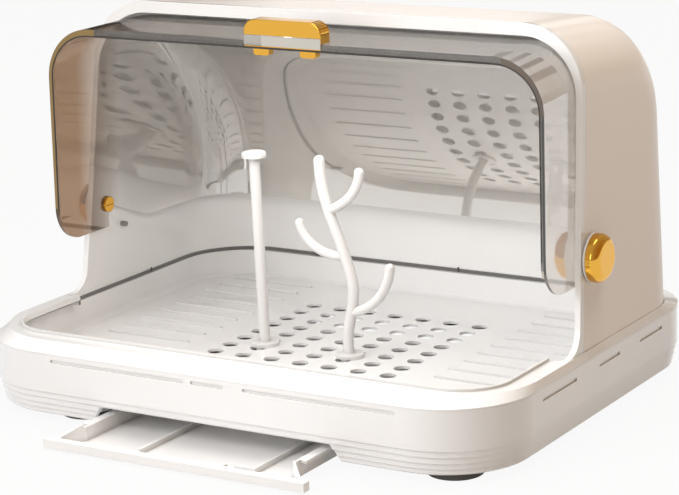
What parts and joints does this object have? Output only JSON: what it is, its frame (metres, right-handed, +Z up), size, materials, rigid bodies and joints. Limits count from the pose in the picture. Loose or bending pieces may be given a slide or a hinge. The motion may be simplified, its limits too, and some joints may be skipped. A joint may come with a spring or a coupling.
{
  "type": "covered dish drainer",
  "caption": "Countertop dish drainer with a rounded hood, swing-up clear lid, perforated drain tray, plug-in cup posts and a pull-out drip drawer.",
  "frame": {"origin": "middle of the whole footprint on the table, with the drawer pulled out as modelled", "axes": "+X to the right seen from the front, +Y to the back, +Z up"},
  "size_m": [0.4362, 0.4026, 0.2781],
  "materials": {
    "white_gloss": "glossy white moulded plastic",
    "cream_gloss": "glossy warm cream moulded plastic",
    "smoke_clear": "clear plastic with a light smoke tint, polished",
    "gold": "polished gold plating",
    "dark_rubber": "matte"
  },
  "bodies": {
    "base": {"base_body": "white_gloss", "rim_ring": "white_gloss", "drain_tray": "white_gloss", "hood_shell": "cream_gloss", "hood_liner": "white_gloss", "washer_left": "white_gloss", "washer_right": "white_gloss", "knob_left": "gold", "knob_right": "gold", "pivot_pin_left": "gold", "pivot_pin_right": "gold", "bush_left": "white_gloss", "bush_right": "white_gloss", "lid_stop_left": "white_gloss", "lid_stop_right": "white_gloss", "guide_left": "white_gloss", "guide_right": "white_gloss", "foot_front_left": "dark_rubber", "foot_front_right": "dark_rubber", "foot_back_left": "dark_rubber", "foot_back_right": "dark_rubber"},
    "lid": {"lid_panel": "smoke_clear", "lid_handle": "gold", "handle_clip": "gold"},
    "drawer": {"drip_drawer": "white_gloss"},
    "rod_post": {"straight_post": "white_gloss"},
    "twig_post": {"branch_post": "white_gloss"}
  },
  "joints": [
    {"name": "lid_hinge", "type": "hinge", "parent": "base", "child": "lid", "pos_m": [0, 0.01435, 0.1181], "axis": [1, 0, 0], "range_deg": [0, 90]},
    {"name": "drawer_slide", "type": "slide", "parent": "base", "child": "drawer", "axis": [0, -1, 0], "range_m": [-0.046, 0.12]},
    {"name": "rod_post_lift", "type": "slide", "parent": "base", "child": "rod_post", "axis": [0, 0, 1], "range_m": [0, 0.06]},
    {"name": "twig_post_lift", "type": "slide", "parent": "base", "child": "twig_post", "axis": [0, 0, 1], "range_m": [0, 0.06]}
  ]
}
